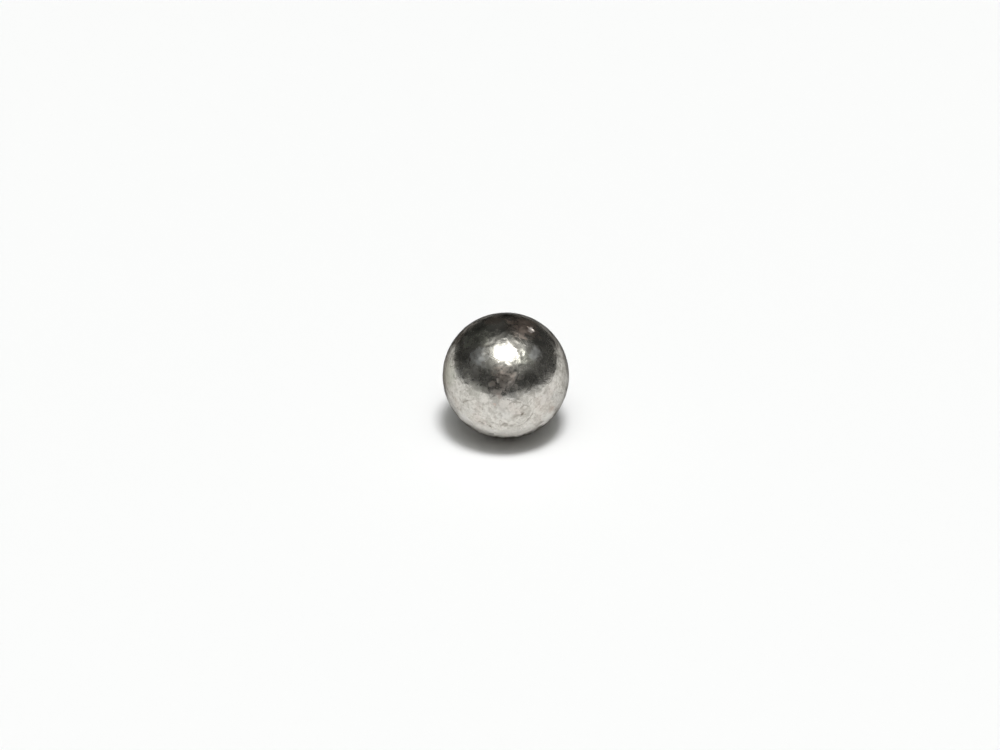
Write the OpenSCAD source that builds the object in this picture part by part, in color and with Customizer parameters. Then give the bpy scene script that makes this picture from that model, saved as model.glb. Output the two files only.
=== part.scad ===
// Loose steel ball: one solid piece, ground round all over, with no hole, flat or seam.
// The origin is the centre of the ball and +Z is up, so the lowest point is half a diameter below it.

/* [Ball] */
// Diameter of the ball, in millimetres
ball_d = 8; // [1:0.05:30]

/* [Hidden] */

// Sides of the round shapes, for the preview
$fn = 128;

module ball() {
    color("silver")
        sphere(d = ball_d);
}

ball();
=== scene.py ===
import random
from math import atan, cos, pi, radians, sin, sqrt, tan

import bmesh
import bpy
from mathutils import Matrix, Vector, kdtree, noise


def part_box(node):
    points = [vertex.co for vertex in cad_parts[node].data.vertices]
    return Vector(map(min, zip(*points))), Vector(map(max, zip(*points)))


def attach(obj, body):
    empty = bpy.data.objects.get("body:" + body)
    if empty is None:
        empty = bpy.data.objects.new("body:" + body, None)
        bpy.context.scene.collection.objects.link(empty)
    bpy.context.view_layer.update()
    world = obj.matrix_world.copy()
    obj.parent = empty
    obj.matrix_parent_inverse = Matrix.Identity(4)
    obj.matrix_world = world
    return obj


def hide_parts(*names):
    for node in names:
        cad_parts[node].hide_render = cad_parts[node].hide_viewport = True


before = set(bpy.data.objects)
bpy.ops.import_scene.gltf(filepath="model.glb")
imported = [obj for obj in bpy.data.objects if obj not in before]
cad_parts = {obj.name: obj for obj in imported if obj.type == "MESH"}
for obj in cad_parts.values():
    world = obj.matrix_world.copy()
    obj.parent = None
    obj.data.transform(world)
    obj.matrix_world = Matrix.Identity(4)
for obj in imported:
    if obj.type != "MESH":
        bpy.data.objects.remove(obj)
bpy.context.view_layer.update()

millimetre = 0.001
micrometre = 0.000001
ballLow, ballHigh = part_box("ball")
ballMiddle = (ballLow + ballHigh) / 2
ballRadius = min(ballHigh - ballLow) / 2
print("frame loaded,", len(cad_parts), "node, ball radius", round(ballRadius / millimetre, 4), "mm")


# What the photograph's frame shows: the ball's outline and the angle it is seen at
photoView = {
    "framePixels": (1000, 750),
    "outlineMiddlePixel": (505.8, 375.6),
    "outlineRadiusPixels": 63.4,
    "elevation": radians(33),  # camera above the table
    "viewAcross": radians(14),
    "sensorWidth": 36,
    "clipShares": (0.01, 100),  # nearest and furthest that is drawn, as shares of the camera's distance
}

frameWide, frameHigh = photoView["framePixels"]
outlineX, outlineY = photoView["outlineMiddlePixel"]
focalPixels = frameWide / 2 / tan(photoView["viewAcross"] / 2)
cameraDistance = ballRadius / sin(atan(photoView["outlineRadiusPixels"] / focalPixels))
metresPerPixel = cameraDistance / focalPixels

rightwards = Vector((1, 0, 0))
towardsCamera = Vector((0, -cos(photoView["elevation"]), sin(photoView["elevation"])))
upwards = towardsCamera.cross(rightwards)
cameraPlace = ballMiddle + towardsCamera * cameraDistance
aimAside = rightwards * (frameWide / 2 - outlineX) + upwards * (outlineY - frameHigh / 2)
aimPoint = ballMiddle + aimAside * metresPerPixel
cameraTurn = (aimPoint - cameraPlace).to_track_quat("-Z", "Y")


def makeCamera():
    nearest, furthest = photoView["clipShares"]
    data = bpy.data.cameras.new("photo_camera")
    data.sensor_width = photoView["sensorWidth"]
    data.lens = photoView["sensorWidth"] * focalPixels / frameWide
    data.clip_start = cameraDistance * nearest
    data.clip_end = cameraDistance * furthest
    camera = bpy.data.objects.new("photo_camera", data)
    camera.location = cameraPlace
    camera.rotation_mode = "QUATERNION"
    camera.rotation_quaternion = cameraTurn
    bpy.context.collection.objects.link(camera)
    bpy.context.scene.camera = camera


def rayThrough(pixel):
    x = (pixel[0] - frameWide / 2) / focalPixels
    y = (frameHigh / 2 - pixel[1]) / focalPixels
    return (cameraTurn @ Vector((x, y, -1))).normalized()


# The way out from the ball's middle to the point that a pixel shows, or to the edge for a pixel beside it
def outwardAt(pixel):
    ray = rayThrough(pixel)
    start = cameraPlace - ballMiddle
    along = -ray.dot(start)
    miss = (start + ray * along).length
    reach = sqrt(max(ballRadius ** 2 - miss ** 2, 0))
    return (start + ray * (along - reach)).normalized()


makeCamera()
print("camera", round(cameraDistance / millimetre, 1), "mm from the ball")


# Shader maths: a wrapped socket that Python's operators work on, one Math node for each
class Shade:
    def __init__(self, tree, socket=None):
        self.tree = tree
        self.socket = socket

    def __getitem__(self, output):
        return Shade(self.tree, self.socket.node.outputs[output])

    def node(self, kind, settings=None, sockets=None):
        made = self.tree.nodes.new(kind)
        for name, value in (settings or {}).items():
            setattr(made, name, value)
        for name, value in (sockets or {}).items():
            self.feed(self.inputOf(made, name), value)
        shown = [out for out in made.outputs if out.enabled]
        return Shade(self.tree, shown[0] if shown else None)

    @staticmethod
    def inputOf(made, name):
        if isinstance(name, int):
            return made.inputs[name]
        return next(s for s in made.inputs if s.name == name and s.enabled)

    def feed(self, socket, value):
        if isinstance(value, Shade):
            self.tree.links.new(value.socket, socket)
        else:
            socket.default_value = value

    def math(self, operation, first, second=0.0):
        return self.node("ShaderNodeMath", {"operation": operation}, {0: first, 1: second})

    def __add__(self, other):
        return self.math("ADD", self, other)

    def __radd__(self, other):
        return self.math("ADD", other, self)

    def __sub__(self, other):
        return self.math("SUBTRACT", self, other)

    def __rsub__(self, other):
        return self.math("SUBTRACT", other, self)

    def __mul__(self, other):
        return self.math("MULTIPLY", self, other)

    def __rmul__(self, other):
        return self.math("MULTIPLY", other, self)

    def __truediv__(self, other):
        return self.math("DIVIDE", self, other)

    def __pow__(self, other):
        return self.math("POWER", self, other)

    def __abs__(self):
        return self.math("ABSOLUTE", self)

    # 0 at the first value and 1 at the second, eased at both ends
    def ease(self, start, end):
        low, high = sorted((start, end))
        sockets = {"Value": self, "From Min": low, "From Max": high}
        eased = self.node("ShaderNodeMapRange", {"interpolation_type": "SMOOTHSTEP"}, sockets)
        return eased if start < end else 1 - eased

    def vector(self, operation, first, second=(0, 0, 0), third=(0, 0, 0)):
        return self.node("ShaderNodeVectorMath", {"operation": operation}, {0: first, 1: second, 2: third})

    def noise(self, place, scale, detail=2.0, roughness=0.5, curl=0.0):
        sockets = {"Vector": place, "Scale": scale, "Detail": detail, "Roughness": roughness}
        sockets["Distortion"] = curl
        return self.node("ShaderNodeTexNoise", {"noise_dimensions": "3D"}, sockets)

    def mixColour(self, factor, first, second):
        settings = {"data_type": "RGBA", "clamp_factor": True}
        return self.node("ShaderNodeMix", settings, {"Factor": factor, "A": first, "B": second})


def newMaterial(name):
    material = bpy.data.materials.new(name)
    material.use_nodes = True
    tree = material.node_tree
    tree.nodes.clear()
    return material, Shade(tree)


# Shape of the worn ball: lengths in millimetres, depths of dents as a share of the dent's radius
ballShape = {
    "cuts": 119,  # on each edge of the starting cube
    "seed": 308,
    "broadDents": {"count": 150, "radius": (0.6, 1.3), "depth": (0.003, 0.008), "stretch": (1.0, 1.6)},
    "knockDents": {"count": 2600, "radius": (0.11, 0.36), "depth": (0.016, 0.050), "stretch": (1.0, 2.6)},
    "nickDents": {"count": 110, "radius": (0.07, 0.13), "depth": (0.08, 0.16), "stretch": (1.0, 2.2)},
    # dents that the photograph shows, by the pixel they are at
    "photoHollows": [
        {"pixel": (503, 386), "radius": 1.4, "depth": 0.016},
    ],
    "photoKnocks": {
        "pixel": (505, 351),
        "spread": 1.3,
        "dents": {"count": 90, "radius": (0.10, 0.30), "depth": (0.04, 0.08), "stretch": (1.0, 2.6)},
    },
    "photoDents": [
        {"pixel": (531.5, 330), "radius": 0.22, "depth": 0.34},
        {"pixel": (531.3, 330.2), "radius": 0.075, "depth": 1.1},
        {"pixel": (527.5, 327), "radius": 0.11, "depth": 0.20},
        {"pixel": (505.5, 425.5), "radius": 0.22, "depth": 0.20},
        {"pixel": (511, 426), "radius": 0.16, "depth": 0.17},
        {"pixel": (482, 424), "radius": 0.17, "depth": 0.17},
        {"pixel": (490, 426.5), "radius": 0.13, "depth": 0.17},
        {"pixel": (494.5, 405), "radius": 0.12, "depth": 0.10},
        {"pixel": (522, 414.5), "radius": 0.14, "depth": 0.17},
        {"pixel": (517.5, 412), "radius": 0.10, "depth": 0.17},
        {"pixel": (552, 409), "radius": 0.30, "depth": 0.07},
        {"pixel": (566, 364), "radius": 0.12, "depth": 0.20},
        {"pixel": (498, 380), "radius": 0.14, "depth": 0.09},
        {"pixel": (508.6, 382.4), "radius": 0.12, "depth": 0.09},
    ],
    "waver": 0.10,  # how far the dents' edges stray, and how far apart they do
    "waverApart": 0.5,
    "waverSeed": 31,  # never 0, which makes the noise follow the clock
    "grimeFrom": 0.05,  # depth at which dirt starts to stay in a dent, and at which it fills it
    "grimeFull": 0.20,
    "ridgeHeight": 0.0008,  # how far a ridge stands above the points round it where it is rubbed bright
    "refineFrom": 0.2,  # depth of a steep dent, which gets a finer mesh
    "refineReach": 1.9,  # how far that goes, in the dent's radii
    "refineCuts": 2,
}


def randomOutward(draw):
    height = draw.uniform(-1, 1)
    angle = draw.uniform(0, 2 * pi)
    ring = sqrt(1 - height ** 2)
    return Vector((ring * cos(angle), ring * sin(angle), height))


# A way out near another one, more often close to it than far from it
def outwardNear(draw, middle, spread):
    stray = Vector([draw.gauss(0, spread * millimetre / ballRadius) for _ in range(3)])
    return (middle + stray).normalized()


def scatterDents(draw, wanted, middle=None, spread=0):
    low, high = wanted["radius"]
    dents = []
    for _ in range(wanted["count"]):
        outward = outwardNear(draw, middle, spread) if middle else randomOutward(draw)
        dents.append({
            "outward": outward,
            "along": outward.cross(randomOutward(draw)).normalized(),
            "stretch": draw.uniform(*wanted["stretch"]),
            "radius": (low + (high - low) * draw.random() ** 2) * millimetre,  # small ones are commoner
            "depth": draw.uniform(*wanted["depth"]),
        })
    return dents


# A place on the ball, strayed a little so that no dent's edge is a true oval
def wavered(outward):
    apart = ballShape["waverApart"] * millimetre / ballRadius
    stray = ballShape["waver"] * millimetre / ballRadius
    return (outward + noise.noise_vector(outward / apart) * stray).normalized()


def dentsAtPixels(marks):
    dents = []
    for mark in marks:
        place = outwardAt(mark["pixel"])
        outward = wavered(place)
        dents.append({
            "place": place,
            "outward": outward,
            "along": outward.orthogonal().normalized(),
            "stretch": 1.0,
            "radius": mark["radius"] * millimetre,
            "depth": mark["depth"],
        })
    return dents


# A ball with a radius of 1, in even squares: a cube that is cut up and blown round
def roundBall():
    bm = bmesh.new()
    bmesh.ops.create_cube(bm, size=2)
    bmesh.ops.subdivide_edges(bm, edges=bm.edges[:], cuts=ballShape["cuts"], use_grid_fill=True)
    for vert in bm.verts:
        vert.co = Vector([tan(c * pi / 4) for c in vert.co]).normalized()
    return bm


def refineSteepDents(bm, dents):
    for dent in dents:
        if dent["depth"] < ballShape["refineFrom"]:
            continue
        reach = ballShape["refineReach"] * dent["radius"] / ballRadius
        near = [e for e in bm.edges if all((v.co - dent["place"]).length < reach for v in e.verts)]
        bmesh.ops.subdivide_edges(bm, edges=near, cuts=ballShape["refineCuts"], use_grid_fill=True)
    for vert in bm.verts:
        vert.co.normalize()
    bm.verts.index_update()


# The points in a dent's reach, each with its share of the dent's full depth
def bowlOf(dent, tree):
    inRadii = ballRadius / dent["radius"]
    for point, index, _ in tree.find_range(dent["outward"], dent["stretch"] / inRadii):
        offset = (point - dent["outward"]) * inRadii
        along = offset.dot(dent["along"])
        apart = offset.length_squared - along ** 2 + (along / dent["stretch"]) ** 2
        if apart < 1:
            yield index, 1 - apart


# Each knock leaves a round bowl, and where two meet the deeper one shows, with a ridge between
def sinkKnocks(knocks, tree, count):
    grimeFrom = ballShape["grimeFrom"]
    grimeSpan = ballShape["grimeFull"] - grimeFrom
    sunk = [0.0] * count
    dirty = [0.0] * count
    for dent in knocks:
        grime = min(max((dent["depth"] - grimeFrom) / grimeSpan, 0), 1)
        deepest = dent["depth"] * dent["radius"]
        for index, share in bowlOf(dent, tree):
            if deepest * share > sunk[index]:
                sunk[index] = deepest * share
                dirty[index] = grime * share
    return sunk, dirty


# Broad hollows ease into the ball round them, and add up
def sinkHollows(hollows, tree, sunk):
    for dent in hollows:
        deepest = dent["depth"] * dent["radius"]
        for index, share in bowlOf(dent, tree):
            sunk[index] += deepest * share ** 2


# What the finish reads at each point: the dirt in a dent, and how proud a ridge stands
def noteWear(bm, sunk, dirty):
    hollowLayer = bm.verts.layers.float.new("hollow")
    ridgeLayer = bm.verts.layers.float.new("ridge")
    ridgeHeight = ballShape["ridgeHeight"] * millimetre
    for vert in bm.verts:
        around = [sunk[edge.other_vert(vert).index] for edge in vert.link_edges]
        proud = sum(around) / len(around) - sunk[vert.index]
        vert[hollowLayer] = dirty[vert.index]
        vert[ridgeLayer] = min(max(proud / ridgeHeight, 0), 1)


def makeBall():
    noise.seed_set(ballShape["waverSeed"])
    draw = random.Random(ballShape["seed"])
    gathered = ballShape["photoKnocks"]
    hollows = scatterDents(draw, ballShape["broadDents"]) + dentsAtPixels(ballShape["photoHollows"])
    knocks = scatterDents(draw, ballShape["knockDents"]) + scatterDents(draw, ballShape["nickDents"])
    knocks += scatterDents(draw, gathered["dents"], outwardAt(gathered["pixel"]), gathered["spread"])
    placed = dentsAtPixels(ballShape["photoDents"])
    knocks += placed

    bm = roundBall()
    refineSteepDents(bm, placed)
    tree = kdtree.KDTree(len(bm.verts))
    for vert in bm.verts:
        tree.insert(wavered(vert.co), vert.index)
    tree.balance()
    sunk, dirty = sinkKnocks(knocks, tree, len(bm.verts))
    noteWear(bm, sunk, dirty)
    sinkHollows(hollows, tree, sunk)
    for vert in bm.verts:
        vert.co = ballMiddle + vert.co * (ballRadius - sunk[vert.index])
    bmesh.ops.recalc_face_normals(bm, faces=bm.faces[:])
    for face in bm.faces:
        face.smooth = True

    mesh = bpy.data.meshes.new("worn_ball")
    bm.to_mesh(mesh)
    bm.free()
    ball = bpy.data.objects.new("worn_ball", mesh)
    bpy.context.collection.objects.link(ball)
    return ball


# Finish of the ball: steel dulled by handling, with scratches and stains; lengths in millimetres
steelFinish = {
    "bright": (0.68, 0.655, 0.61, 1),
    "dull": (0.46, 0.44, 0.40, 1),
    "rubbed": (0.74, 0.72, 0.68, 1),
    "rubbedMost": 0.2,  # share of that colour on the ridges
    "grime": (0.22, 0.195, 0.165, 1),
    # painted shade: the tint at grazing angles is dark, so the ball's outline shows dark
    "edgeTint": (0.16, 0.16, 0.16, 1),
    "polished": 0.18,  # roughness of the bright patches and of the dull ones
    "scuffed": 0.33,
    # patterns in the steel, with their scale as a count to the millimetre
    "patches": {"scale": 0.7},
    "mottle": {"scale": 2.2, "detail": 3.0, "roughness": 0.55, "curl": 0.9},
    "speckle": {"scale": 5.0, "curl": 0.6},
    "grain": {"scale": 24.0},
    # what dulls the colour and what scuffs the steel, and the levels from which they start and are full
    "tarnishWeights": {"mottle": 0.55, "speckle": 0.45},
    "tarnishLevels": (-0.10, 0.14),
    "scuffWeights": {"mottle": 0.55, "patches": 0.45},
    "scuffLevels": (-0.10, 0.16),
    # what each mark adds to the dirt and to the roughness, and how high it stands, in micrometres
    "grimeWeights": {"gouges": 0.32, "marked": 0.6, "scratches": 0.14, "hollow": 0.45},
    "roughWeights": {"speckle": 0.2, "grain": 0.05, "scratches": 0.06, "gouges": 0.08, "hollow": 0.15},
    "heights": {"mottle": 4.5, "speckle": 3.5, "grain": 0.2, "scratches": -1.2, "gouges": -2.4},
    # scratches all over, and fewer gouges that curl more
    "scratchLayers": [
        {"perMillimetre": 0.6, "width": 0.012, "weight": 1.0},
        {"perMillimetre": 1.7, "width": 0.011, "weight": 0.8},
        {"perMillimetre": 3.6, "width": 0.008, "weight": 0.5},
    ],
    "scratchBend": {"scale": 0.5, "detail": 0.0},
    "gouges": {"perMillimetre": 1.0, "width": 0.045, "share": 0.4},
    "gougeCurl": {"scale": 0.9, "detail": 0.0},
    "scratchEnds": (0.75, 0.3),  # from a cell's middle: where a scratch ends, and where it is full
    # scratches that the photograph shows, from pixel to pixel; a bow to the left as one goes is positive
    "photoScratches": [
        {"from": (513, 427.5), "to": (534, 408), "bow": -0.30, "width": 0.07},
        {"from": (519.5, 410.5), "to": (530, 407), "bow": 0.26, "width": 0.08},
        {"from": (520, 411.5), "to": (527.5, 414), "bow": -0.12, "width": 0.08},
        {"from": (520, 417.5), "to": (524, 411), "bow": 0.0, "width": 0.07},
        {"from": (477, 422), "to": (485, 425), "bow": 0.14, "width": 0.08},
        {"from": (486, 424), "to": (491.5, 429), "bow": 0.10, "width": 0.08},
        {"from": (500, 428), "to": (510, 424), "bow": 0.24, "width": 0.09},
        {"from": (512, 402.5), "to": (522, 403.5), "bow": 0.06, "width": 0.08},
        {"from": (462, 404), "to": (470, 399.5), "bow": 0.05, "width": 0.07},
        {"from": (476, 331), "to": (489, 324), "bow": 0.05, "width": 0.06},
        {"from": (457, 356), "to": (474, 346), "bow": 0.08, "width": 0.07},
    ],
    "markedTaper": 0.55,  # share of its half length from which such a scratch thins out
    "markedStray": {"scale": 5.0},  # these scratches waver, and how far
    "markedStrayReach": 0.16,
    # thin films; umber, which along the upper edge is painted shade, a dark outline; and pale steel,
    # painted light low on the ball where it would mirror its own shadow, and rougher there
    "tints": {
        "brown": (0.56, 0.45, 0.39, 1),
        "olive": (0.53, 0.53, 0.46, 1),
        "slate": (0.555, 0.565, 0.57, 1),
        "umber": (0.20, 0.185, 0.17, 1),
        "pale": (0.86, 0.84, 0.80, 1),
    },
    # stains that the photograph shows, and painted shade and painted light, by the pixel they are at;
    # "rough" is added to the roughness
    "photoStains": [
        {"pixel": (503, 381), "radius": 1.5, "tint": "brown", "strength": 0.7, "rough": 0.07},
        {"pixel": (522, 325), "radius": 1.9, "tint": "brown", "strength": 1.0, "rough": 0.06},
        {"pixel": (494, 319), "radius": 1.2, "tint": "brown", "strength": 0.7, "rough": 0.02},
        {"pixel": (552, 409), "radius": 0.45, "tint": "brown", "strength": 0.5, "rough": 0.12},
        {"pixel": (494.5, 405), "radius": 0.20, "tint": "brown", "strength": 1.0, "rough": 0.05},
        {"pixel": (498, 380), "radius": 0.18, "tint": "slate", "strength": 0.4, "rough": 0.15},
        {"pixel": (508.6, 382.4), "radius": 0.16, "tint": "slate", "strength": 0.4, "rough": 0.15},
        {"pixel": (476, 335), "radius": 1.8, "tint": "olive", "strength": 0.9, "rough": 0.0},
        {"pixel": (526, 358), "radius": 0.9, "tint": "olive", "strength": 0.7, "rough": 0.06},
        {"pixel": (476, 391), "radius": 1.0, "tint": "olive", "strength": 0.3, "rough": 0.12},
        {"pixel": (448, 374), "radius": 1.5, "tint": "olive", "strength": 0.7, "rough": 0.0},
        {"pixel": (478, 357), "radius": 1.2, "tint": "slate", "strength": 0.8, "rough": 0.12},
        {"pixel": (535, 352), "radius": 0.9, "tint": "slate", "strength": 0.7, "rough": 0.13},
        {"pixel": (531.5, 330), "radius": 0.36, "tint": "slate", "strength": 0.6, "rough": 0.35},
        {"pixel": (460, 358), "radius": 0.9, "tint": "umber", "strength": 0.5, "rough": 0.0},
        {"pixel": (480, 376), "radius": 1.0, "tint": "umber", "strength": 0.4, "rough": 0.03},
        {"pixel": (512, 328), "radius": 0.6, "tint": "umber", "strength": 0.5, "rough": 0.0},
        # painted shade: umber along the upper edge darkens the ball's outline there
        {"pixel": (447, 348), "radius": 1.4, "tint": "umber", "strength": 0.8, "rough": 0.0},
        {"pixel": (455, 333), "radius": 1.6, "tint": "umber", "strength": 1.0, "rough": 0.0},
        {"pixel": (474, 319), "radius": 1.3, "tint": "umber", "strength": 0.9, "rough": 0.0},
        {"pixel": (505, 313), "radius": 1.4, "tint": "umber", "strength": 0.9, "rough": 0.0},
        {"pixel": (536, 319), "radius": 1.3, "tint": "umber", "strength": 0.9, "rough": 0.0},
        {"pixel": (555, 334), "radius": 1.4, "tint": "umber", "strength": 0.9, "rough": 0.0},
        {"pixel": (459, 338), "radius": 1.1, "tint": "umber", "strength": 0.9, "rough": 0.0},
        {"pixel": (554, 341), "radius": 0.9, "tint": "umber", "strength": 0.6, "rough": 0.0},
        # painted light: pale steel low on the ball, where it would mirror its own shadow; the added
        # roughness makes it rougher there too
        {"pixel": (450, 402), "radius": 1.2, "tint": "pale", "strength": 0.7, "rough": 0.16},
        {"pixel": (463, 418), "radius": 1.2, "tint": "pale", "strength": 0.9, "rough": 0.22},
        {"pixel": (482, 430), "radius": 1.5, "tint": "pale", "strength": 0.5, "rough": 0.17},
        {"pixel": (506, 435), "radius": 1.5, "tint": "pale", "strength": 0.5, "rough": 0.17},
        {"pixel": (529, 430), "radius": 1.5, "tint": "pale", "strength": 0.5, "rough": 0.17},
        {"pixel": (548, 418), "radius": 1.2, "tint": "pale", "strength": 0.9, "rough": 0.22},
        {"pixel": (562, 400), "radius": 1.2, "tint": "pale", "strength": 0.7, "rough": 0.16},
        {"pixel": (567, 380), "radius": 0.9, "tint": "pale", "strength": 0.5, "rough": 0.10},
    ],
    "stainBreak": 1.4,  # how far the mottle breaks a stain up
    "stainLevels": (0.05, 0.9),  # where the broken stain starts, and where it is full
    "stainRim": 0.3,  # share of a stain's fade over which its rim dies away
    "stainStray": {"scale": 2.4, "detail": 3.0},  # the stains' edges are ragged, and how far
    "stainStrayReach": 0.8,
    # faint stains all over, in each tint
    "faintStains": {"scale": 0.5, "detail": 3.0},
    "faintPlace": (11.0, 4.0, 7.0),  # where in the pattern the first tint is; the others step along
    "faintLevels": (0.02, 0.26),
    "faintMost": 0.25,
}


# Noise that is about 0 on average
def evenNoise(shade, place, pattern):
    return shade.noise(place, **pattern) - 0.5


# Each point strays by up to half the reach, any way
def strayed(shade, place, pattern, reach):
    moved = shade.vector("MULTIPLY_ADD", shade.noise(place, **pattern)["Color"], (reach,) * 3, place)
    return shade.vector("SUBTRACT", moved, (reach / 2,) * 3)


# The marks that have a weight, each times that weight, added up
def weighed(marks, weights):
    total = 0.0
    for name, weight in weights.items():
        total = total + marks[name] * weight
    return total


# One thin plane through each cell of a scattered pattern leaves one scratch there
def scratchLayer(shade, place, layer):
    sockets = {"Vector": place, "Scale": layer["perMillimetre"]}
    cell = shade.node("ShaderNodeTexVoronoi", {"feature": "F1"}, sockets)
    way = shade.vector("NORMALIZE", shade.vector("SUBTRACT", cell["Color"], (0.5, 0.5, 0.5)))
    offset = shade.vector("SUBTRACT", place, cell["Position"])
    across = abs(shade.vector("DOT_PRODUCT", offset, way)["Value"])
    line = across.ease(layer["width"], 0.0) * cell["Distance"].ease(*steelFinish["scratchEnds"])
    if "share" not in layer:
        return line
    chance = shade.node("ShaderNodeSeparateColor", {}, {"Color": cell["Color"]})
    return line * shade.math("LESS_THAN", chance, layer["share"])


def scratchBetween(shade, place, mark):
    start = outwardAt(mark["from"])
    end = outwardAt(mark["to"])
    onBall = ballRadius / millimetre
    half = (end - start).length / 2 * onBall
    offset = shade.vector("SUBTRACT", place, (start + end).normalized() * onBall)
    along = shade.vector("DOT_PRODUCT", offset, (end - start).normalized() / half)["Value"]
    aside = shade.vector("DOT_PRODUCT", offset, start.cross(end).normalized())["Value"]
    bowed = aside - (1 - along * along) * mark["bow"]
    return abs(bowed).ease(mark["width"], 0.0) * abs(along).ease(1.0, steelFinish["markedTaper"])


# A stain, and a patch of painted light or shade alike, fades from its middle, and the steel's mottle
# breaks it up
def stainAndPaintedLightAt(shade, place, stain, mottle):
    middle = outwardAt(stain["pixel"]) * ballRadius / millimetre
    apart = shade.vector("DISTANCE", place, middle)["Value"]
    inside = apart.ease(stain["radius"], 0.0)
    broken = (inside + mottle * steelFinish["stainBreak"]).ease(*steelFinish["stainLevels"])
    return broken * inside.ease(0.0, steelFinish["stainRim"])


# Where each tint lies on the ball, stains and painted light alike, and the roughness that they add
def stainAndPaintedLightLayers(shade, place, mottle):
    finish = steelFinish
    x, y, z = finish["faintPlace"]
    masks = {}
    for count, tint in enumerate(finish["tints"]):
        elsewhere = shade.vector("ADD", place, (x * (count + 1), y, z))
        faint = evenNoise(shade, elsewhere, finish["faintStains"])
        masks[tint] = faint.ease(*finish["faintLevels"]) * finish["faintMost"]
    ragged = strayed(shade, place, finish["stainStray"], finish["stainStrayReach"])
    rough = 0.0
    for stain in finish["photoStains"]:
        mask = stainAndPaintedLightAt(shade, ragged, stain, mottle)
        masks[stain["tint"]] = masks[stain["tint"]] + mask * stain["strength"]
        rough = rough + mask * stain["rough"]
    return masks, rough


# All that marks the steel, by name
def steelMarks(shade, place):
    finish = steelFinish
    marks = {}
    for name in ("patches", "mottle", "speckle", "grain"):
        marks[name] = evenNoise(shade, place, finish[name])
    bent = shade.vector("ADD", place, shade.noise(place, **finish["scratchBend"])["Color"])
    curled = shade.vector("ADD", place, shade.noise(place, **finish["gougeCurl"])["Color"])
    unsteady = strayed(shade, place, finish["markedStray"], finish["markedStrayReach"])
    marks["scratches"] = 0.0
    for layer in finish["scratchLayers"]:
        marks["scratches"] = marks["scratches"] + scratchLayer(shade, bent, layer) * layer["weight"]
    marks["gouges"] = scratchLayer(shade, curled, finish["gouges"])
    marks["marked"] = 0.0
    for mark in finish["photoScratches"]:
        marks["marked"] = marks["marked"] + scratchBetween(shade, unsteady, mark)
    for name in ("hollow", "ridge"):
        marks[name] = shade.node("ShaderNodeAttribute", {"attribute_name": name})["Fac"]
    return marks


def makeSteel():
    finish = steelFinish
    material, shade = newMaterial("ball_steel_worn")
    coordinates = shade.node("ShaderNodeTexCoord")["Object"]
    toMillimetres = (1 / millimetre,) * 3
    place = shade.node("ShaderNodeMapping", {}, {"Vector": coordinates, "Scale": toMillimetres})
    marks = steelMarks(shade, place)
    stainAndPaintedLightMasks, stainRough = stainAndPaintedLightLayers(shade, place, marks["mottle"])

    tarnish = weighed(marks, finish["tarnishWeights"]).ease(*finish["tarnishLevels"])
    colour = shade.mixColour(tarnish, finish["bright"], finish["dull"])
    for tint, mask in stainAndPaintedLightMasks.items():
        colour = shade.mixColour(mask, colour, finish["tints"][tint])
    colour = shade.mixColour(marks["ridge"] * finish["rubbedMost"], colour, finish["rubbed"])
    colour = shade.mixColour(weighed(marks, finish["grimeWeights"]), colour, finish["grime"])

    scuffs = weighed(marks, finish["scuffWeights"]).ease(*finish["scuffLevels"])
    roughness = finish["polished"] + scuffs * (finish["scuffed"] - finish["polished"])
    roughness = roughness + stainRough + weighed(marks, finish["roughWeights"])
    height = weighed(marks, finish["heights"])
    bump = shade.node("ShaderNodeBump", {}, {"Strength": 1.0, "Distance": micrometre, "Height": height})
    steel = shade.node("ShaderNodeBsdfPrincipled", {}, {
        "Base Color": colour,
        "Metallic": 1.0,
        "Roughness": roughness,
        "Specular Tint": finish["edgeTint"],
        "Normal": bump,
    })
    shade.node("ShaderNodeOutputMaterial", {}, {"Surface": steel})
    return material


ball = makeBall()
ball.data.materials.append(makeSteel())
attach(ball, "root")
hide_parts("ball")
print("ball made,", len(ball.data.polygons), "faces")


# Pale table that the ball sits on, in metres; its white deepens to grey outside the photograph's frame
tableTop = {
    "across": 4.0,
    "white": (0.925, 0.925, 0.935, 1),
    "grey": (0.26, 0.26, 0.255, 1),
    "whiteMiddle": (-0.004, 0.014, 0),  # from the ball
    "whiteRadius": 0.072,
    "fade": 0.070,
    "roughness": 0.85,
    "gloss": 0.1,
}


def makeTable():
    bm = bmesh.new()
    bmesh.ops.create_grid(bm, x_segments=1, y_segments=1, size=tableTop["across"] / 2)
    bmesh.ops.translate(bm, verts=bm.verts[:], vec=(ballMiddle.x, ballMiddle.y, ballLow.z))
    mesh = bpy.data.meshes.new("table")
    bm.to_mesh(mesh)
    bm.free()
    material, shade = newMaterial("table_white")
    coordinates = shade.node("ShaderNodeTexCoord")["Object"]
    middle = ballMiddle + Vector(tableTop["whiteMiddle"])
    middle.z = ballLow.z
    apart = shade.vector("DISTANCE", coordinates, middle)["Value"]
    # painted pool of lamplight: the table's white deepens to grey away from the ball
    paintedPoolFalloff = apart.ease(tableTop["whiteRadius"], tableTop["whiteRadius"] + tableTop["fade"])
    colour = shade.mixColour(paintedPoolFalloff, tableTop["white"], tableTop["grey"])
    surface = shade.node("ShaderNodeBsdfPrincipled", {}, {
        "Base Color": colour,
        "Roughness": tableTop["roughness"],
        "Specular IOR Level": tableTop["gloss"],
    })
    shade.node("ShaderNodeOutputMaterial", {}, {"Surface": surface})
    mesh.materials.append(material)
    table = bpy.data.objects.new("table", mesh)
    bpy.context.collection.objects.link(table)


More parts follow.
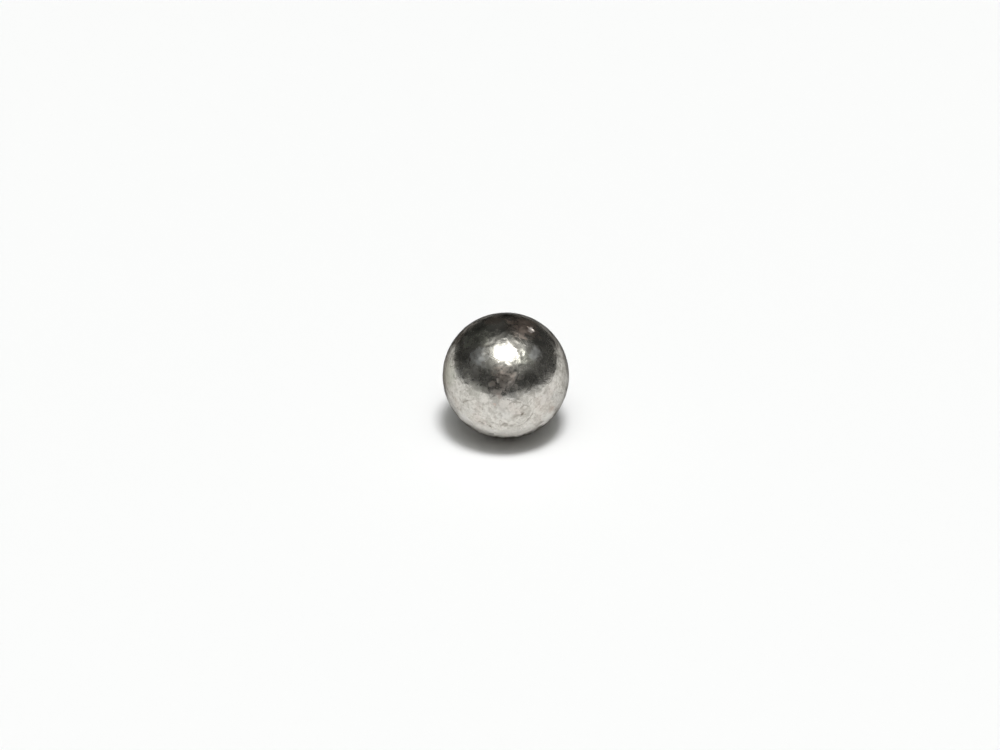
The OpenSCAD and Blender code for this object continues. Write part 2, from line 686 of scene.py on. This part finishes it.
# One soft lamp, placed by its reflection on the ball, in a dim room with an oval glow round the lamp
lighting = {
    "glintPixel": (508.2, 352.2),
    "lampDistance": 6.0,
    "lampAcross": radians(15.5),
    "lampUpDown": radians(12.5),
    "lampOnTable": 0.62,  # share of white that the lamp alone gives a white table
    "roomColour": (0.98, 1.0, 0.955, 1),
    "roomLevel": 0.05,
    "roomUneven": (0.35, 1.4),  # share of that level everywhere, and the most that a pale patch adds
    "roomPatches": {"scale": 4.0, "detail": 4.0, "roughness": 0.65},
    "patchLevels": (0.36, 0.68),
    "glowColour": (0.985, 1.0, 0.955, 1),
    # two ovals of light round the lamp: how far they reach from its middle, and how bright they are
    "wideGlow": {"across": radians(75), "upDown": radians(45), "level": 0.32},
    "closeGlow": {"across": radians(27), "upDown": radians(20), "level": 3.6},
    "glowFull": 0.45,  # share of an oval that is at its full level
    "glowFacing": 0.2,  # cosine of the angle to the lamp, from which the glow dies away to the far side
}


def lampDirection():
    ray = rayThrough(lighting["glintPixel"])
    outward = outwardAt(lighting["glintPixel"])
    return (ray - 2 * ray.dot(outward) * outward).normalized()


def makeLamp():
    direction = lampDirection()
    distance = lighting["lampDistance"]
    data = bpy.data.lights.new("key_lamp", "AREA")
    data.shape = "ELLIPSE"
    data.size = 2 * distance * tan(lighting["lampAcross"] / 2)
    data.size_y = 2 * distance * tan(lighting["lampUpDown"] / 2)
    # a white table under a lamp of this power has the share of white that is asked for
    data.energy = lighting["lampOnTable"] * pi * pi * distance ** 2 / direction.z
    lamp = bpy.data.objects.new("key_lamp", data)
    lamp.location = ballMiddle + direction * distance
    lamp.rotation_mode = "QUATERNION"
    lamp.rotation_quaternion = (-direction).to_track_quat("-Z", "Y")
    bpy.context.collection.objects.link(lamp)
    print("lamp", [round(c, 3) for c in direction], "energy", round(data.energy, 1))


def ovalGlow(shade, way, glow):
    towardsLamp = lampDirection()
    onwards = towardsLamp.cross(rightwards).normalized()
    across = shade.vector("DOT_PRODUCT", way, rightwards)["Value"] / sin(glow["across"])
    upDown = shade.vector("DOT_PRODUCT", way, onwards)["Value"] / sin(glow["upDown"])
    apart = (across * across + upDown * upDown) ** 0.5
    facing = shade.vector("DOT_PRODUCT", way, towardsLamp)["Value"].ease(0.0, lighting["glowFacing"])
    return apart.ease(1.0, lighting["glowFull"]) * facing * glow["level"]


def makeRoom():
    world = bpy.data.worlds.new("dim_room")
    world.use_nodes = True
    world.node_tree.nodes.clear()
    shade = Shade(world.node_tree)
    way = shade.node("ShaderNodeTexCoord")["Generated"]
    glows = ovalGlow(shade, way, lighting["wideGlow"]) + ovalGlow(shade, way, lighting["closeGlow"])
    plain, added = lighting["roomUneven"]
    patches = shade.noise(way, **lighting["roomPatches"]).ease(*lighting["patchLevels"])
    level = (plain + patches * added) * lighting["roomLevel"]
    room = shade.node("ShaderNodeBackground", {}, {"Color": lighting["roomColour"], "Strength": level})
    glow = shade.node("ShaderNodeBackground", {}, {"Color": lighting["glowColour"], "Strength": glows})
    both = shade.node("ShaderNodeAddShader", {}, {0: room, 1: glow})
    shade.node("ShaderNodeOutputWorld", {}, {"Surface": both})
    bpy.context.scene.world = world


makeTable()
makeLamp()
makeRoom()
bpy.context.scene.view_settings.view_transform = "Standard"
print("table, lamp and room made")
